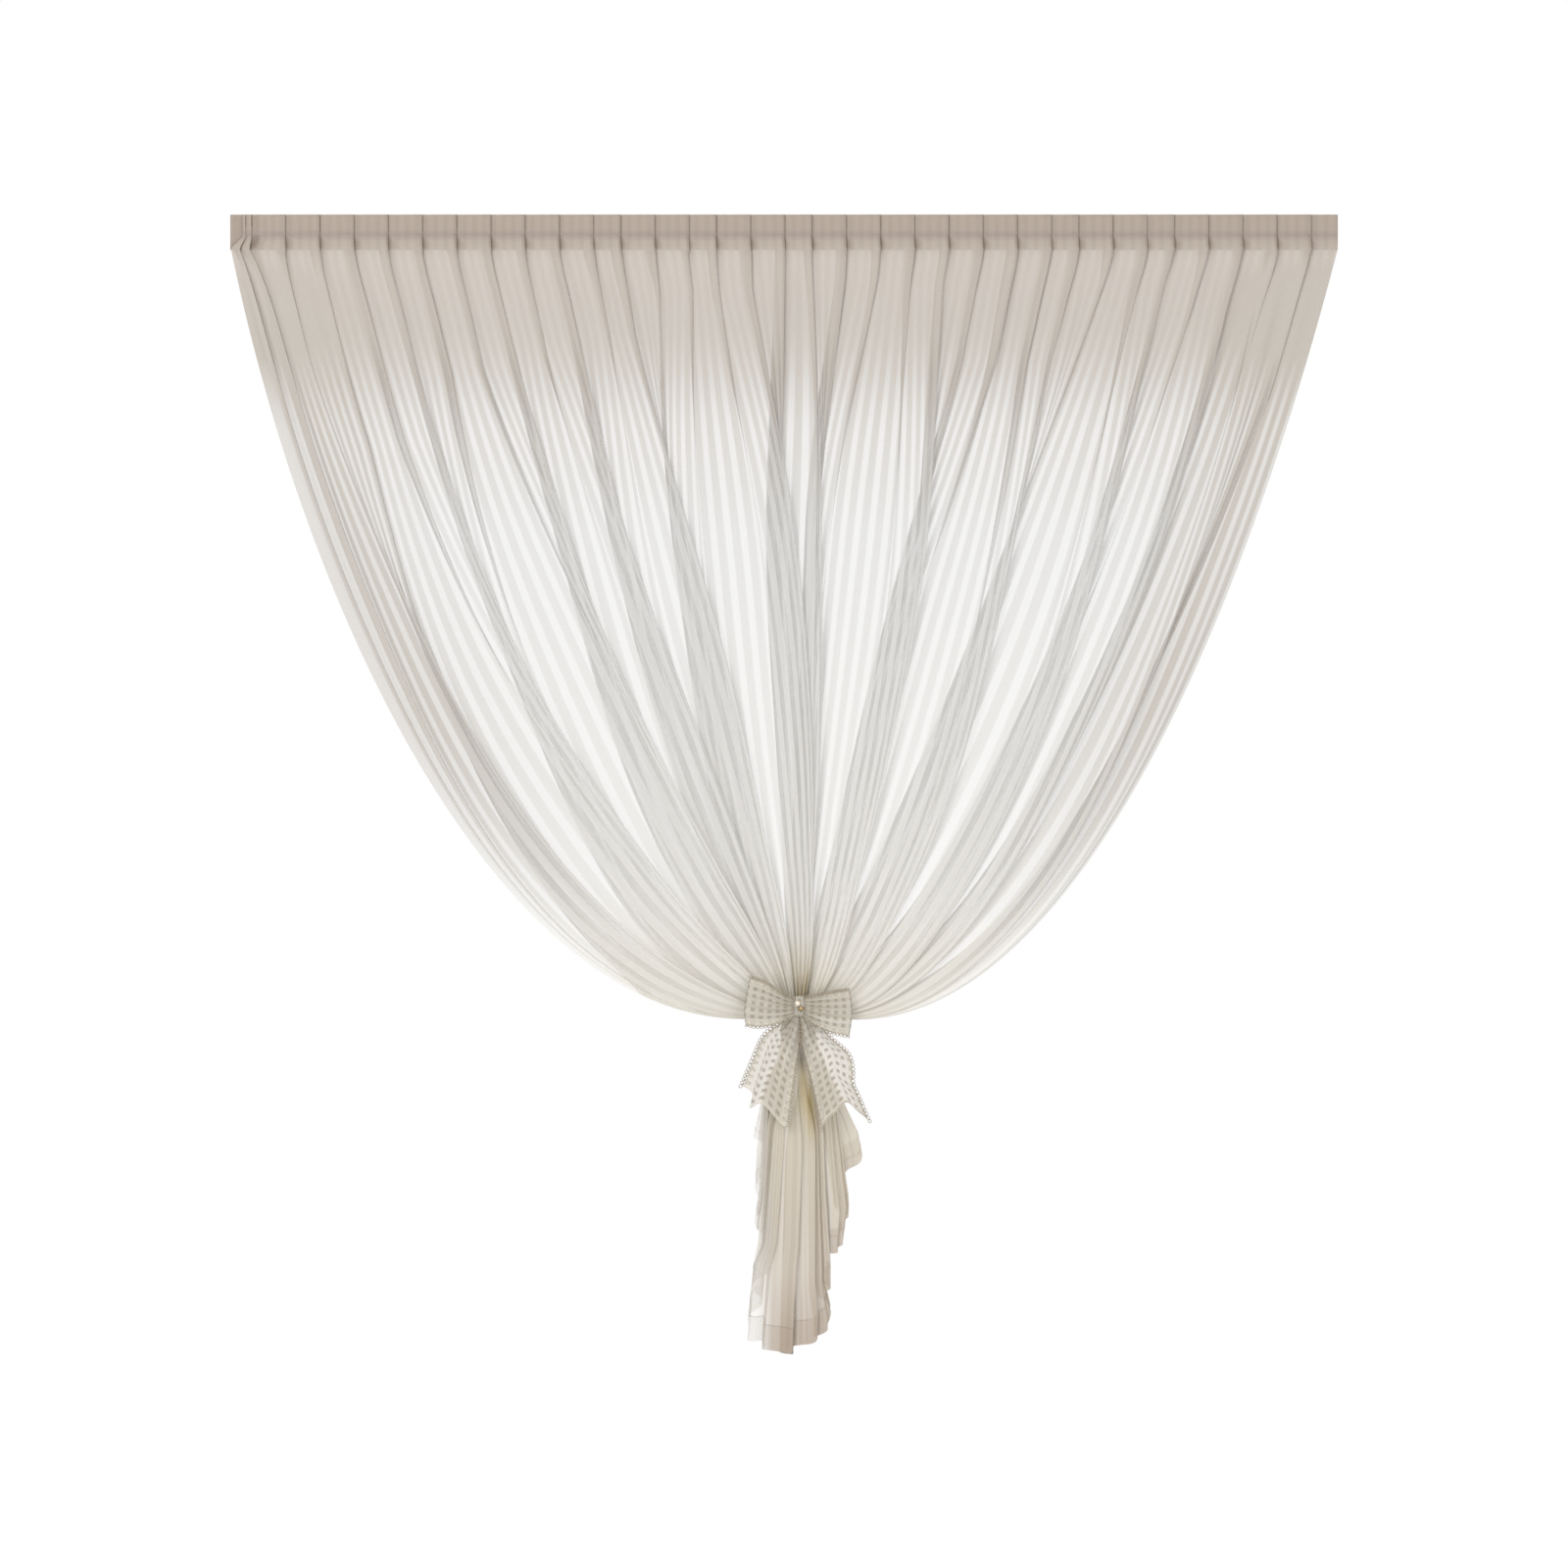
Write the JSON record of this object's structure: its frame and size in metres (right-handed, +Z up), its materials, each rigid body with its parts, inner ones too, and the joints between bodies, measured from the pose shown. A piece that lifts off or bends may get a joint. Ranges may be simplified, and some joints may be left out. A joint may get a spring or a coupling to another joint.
{
  "type": "pleated self-adhesive curtain",
  "caption": "Sheer pleated window curtain on an adhesive hook-and-loop band, drawn into a balloon shape by a lace ribbon bow above a layered tail.",
  "frame": {"origin": "middle of the adhesive face, in the wall plane", "axes": "+X to the viewer's right along the band, +Y into the wall, +Z up"},
  "size_m": [1.5, 0.0642, 1.5384],
  "materials": {
    "adhesive": "thin white adhesive foam",
    "hook": "hook tape",
    "loop": "loop tape",
    "band": "woven taupe heading band",
    "voile": "sheer voile with fine woven stripes",
    "tulle": "dotted tulle ribbon with a scalloped lace edge",
    "gold": "polished",
    "pearl": "pearl"
  },
  "bodies": {
    "root": {"adhesive_film": "adhesive", "hook_tape": "hook", "loop_tape": "loop", "heading_band": "band", "curtain_panel": "voile", "bow_ribbon": "tulle", "bead_pin": "gold", "pearl_bead": "pearl"}
  },
  "joints": []
}
